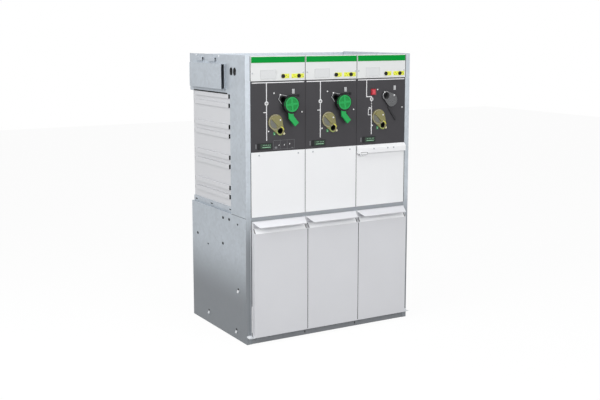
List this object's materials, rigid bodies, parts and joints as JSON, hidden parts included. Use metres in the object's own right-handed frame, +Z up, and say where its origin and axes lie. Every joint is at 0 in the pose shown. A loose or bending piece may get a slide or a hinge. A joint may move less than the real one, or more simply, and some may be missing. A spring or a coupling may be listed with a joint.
{
  "type": "ring main unit",
  "caption": "Free-standing medium-voltage ring main unit: galvanised cabinet and tank, mimic panels with operating handles and earthing selectors, lift-off cable doors.",
  "frame": {"origin": "on the floor, at the centre of the cabinet's footprint and of the floor fixings", "axes": "+X to the right seen from the front, -Y out of the front, +Z up"},
  "size_m": [1.08, 0.748, 1.54],
  "materials": {
    "galvanised": "hot-dip galvanised sheet, matt grey-blue",
    "tank_steel": "matt stainless sheet",
    "kick_paint": "dark grey powder coat",
    "rail_paint": "mid grey powder coat",
    "white_paint": "white fine-texture powder coat",
    "door_paint": "pale grey fine-texture powder coat",
    "mimic_paint": "dark grey printed panel, matt",
    "green_film": "green self-adhesive film",
    "yellow_film": "yellow self-adhesive film",
    "white_plastic": "white moulded plastic",
    "black_plastic": "black moulded plastic",
    "clear_plastic": "clear moulded plastic",
    "green_plastic": "green moulded plastic",
    "yellow_plastic": "clear yellow moulded plastic",
    "red_plastic": "red moulded plastic",
    "rubber": "black rubber",
    "bronze": "sintered bronze",
    "drive_steel": "zinc-plated steel",
    "epoxy": "red-brown cast epoxy",
    "bottle": "cast insulating housing",
    "copper": "bare copper"
  },
  "bodies": {
    "cabinet": {"base_frame": "galvanised", "door_ledge": "galvanised", "lower_side_left": "galvanised", "lower_side_right": "galvanised", "lower_rear_panel": "galvanised", "partitions": "galvanised", "mech_floor": "galvanised", "mech_side_left": "galvanised", "mech_side_right": "galvanised", "upper_side_left": "galvanised", "upper_side_right": "galvanised", "upper_rear_panel": "galvanised", "top_plate": "galvanised", "busbar_end_box": "galvanised", "clamp_rail": "galvanised", "tank": "tank_steel", "tank_ribs": "tank_steel", "kick_plate": "kick_paint", "cross_rail": "rail_paint", "header_cover_1": "white_paint", "header_cover_2": "white_paint", "header_cover_3": "white_paint", "mid_cover_1": "white_paint", "mid_cover_2": "white_paint", "mid_cover_3": "white_paint", "visor": "white_paint", "mimic_panel_1": "mimic_paint", "mimic_panel_2": "mimic_paint", "mimic_panel_3": "mimic_paint", "green_bands": "green_film", "socket_strips": "yellow_film", "label_holders": "white_plastic", "test_sockets": "black_plastic", "voltage_indicators": "black_plastic", "lever_guard_1": "black_plastic", "lever_guard_2": "black_plastic", "earth_socket_1": "black_plastic", "earth_socket_2": "black_plastic", "earth_socket_3": "black_plastic", "lever_guard_3": "clear_plastic", "grommets": "rubber", "shaft_bushes": "bronze", "drive_units": "drive_steel", "cable_bushings": "epoxy", "vacuum_bottles": "bottle", "busbars": "copper", "earth_bar": "copper"},
    "door_1": {"cable_door_1": "door_paint"},
    "handle_1": {"switch_handle_1": "green_plastic"},
    "selector_1": {"earth_selector_1": "yellow_plastic"},
    "flag_1": {"position_flag_1": "white_plastic"},
    "door_2": {"cable_door_2": "door_paint"},
    "handle_2": {"switch_handle_2": "green_plastic"},
    "selector_2": {"earth_selector_2": "yellow_plastic"},
    "flag_2": {"position_flag_2": "white_plastic"},
    "door_3": {"cable_door_3": "door_paint"},
    "handle_3": {"switch_handle_3": "black_plastic"},
    "selector_3": {"earth_selector_3": "yellow_plastic"},
    "flag_3": {"position_flag_3": "white_plastic"},
    "trip_button": {"trip_button": "red_plastic"}
  },
  "joints": [
    {"name": "door_1_pull", "type": "slide", "parent": "cabinet", "child": "door_1", "axis": [0, -1, 0], "range_m": [0, 0.3]},
    {"name": "handle_1_turn", "type": "hinge", "parent": "cabinet", "child": "handle_1", "pos_m": [-0.265, -0.345, 1.281], "axis": [0, -1, 0], "range_deg": [0, 90]},
    {"name": "selector_1_turn", "type": "hinge", "parent": "cabinet", "child": "selector_1", "pos_m": [-0.349, -0.345, 1.189], "axis": [0, 1, 0], "range_deg": [0, 42]},
    {"name": "flag_1_turn", "type": "hinge", "parent": "cabinet", "child": "flag_1", "pos_m": [-0.4, -0.345, 1.289], "axis": [0, -1, 0], "range_deg": [0, 90]},
    {"name": "door_2_pull", "type": "slide", "parent": "cabinet", "child": "door_2", "axis": [0, -1, 0], "range_m": [0, 0.3]},
    {"name": "handle_2_turn", "type": "hinge", "parent": "cabinet", "child": "handle_2", "pos_m": [0.065, -0.345, 1.281], "axis": [0, -1, 0], "range_deg": [0, 90]},
    {"name": "selector_2_turn", "type": "hinge", "parent": "cabinet", "child": "selector_2", "pos_m": [-0.019, -0.345, 1.189], "axis": [0, 1, 0], "range_deg": [0, 42]},
    {"name": "flag_2_turn", "type": "hinge", "parent": "cabinet", "child": "flag_2", "pos_m": [-0.07, -0.345, 1.289], "axis": [0, -1, 0], "range_deg": [0, 90]},
    {"name": "door_3_pull", "type": "slide", "parent": "cabinet", "child": "door_3", "axis": [0, -1, 0], "range_m": [0, 0.3]},
    {"name": "handle_3_turn", "type": "hinge", "parent": "cabinet", "child": "handle_3", "pos_m": [0.395, -0.345, 1.281], "axis": [0, -1, 0], "range_deg": [0, 90]},
    {"name": "selector_3_turn", "type": "hinge", "parent": "cabinet", "child": "selector_3", "pos_m": [0.311, -0.345, 1.189], "axis": [0, 1, 0], "range_deg": [0, 42]},
    {"name": "flag_3_turn", "type": "hinge", "parent": "cabinet", "child": "flag_3", "pos_m": [0.265, -0.345, 1.289], "axis": [0, -1, 0], "range_deg": [0, 90]},
    {"name": "trip_button_press", "type": "slide", "parent": "cabinet", "child": "trip_button", "axis": [0, 1, 0], "range_m": [0, 0.005], "stiffness_N_per_m": 900, "springref_m": -0.003}
  ],
  "couplings": [
    {"joint": "flag_1_turn", "follows": "handle_1_turn", "ratio": 1},
    {"joint": "flag_2_turn", "follows": "handle_2_turn", "ratio": 1},
    {"joint": "flag_3_turn", "follows": "handle_3_turn", "ratio": 1}
  ]
}
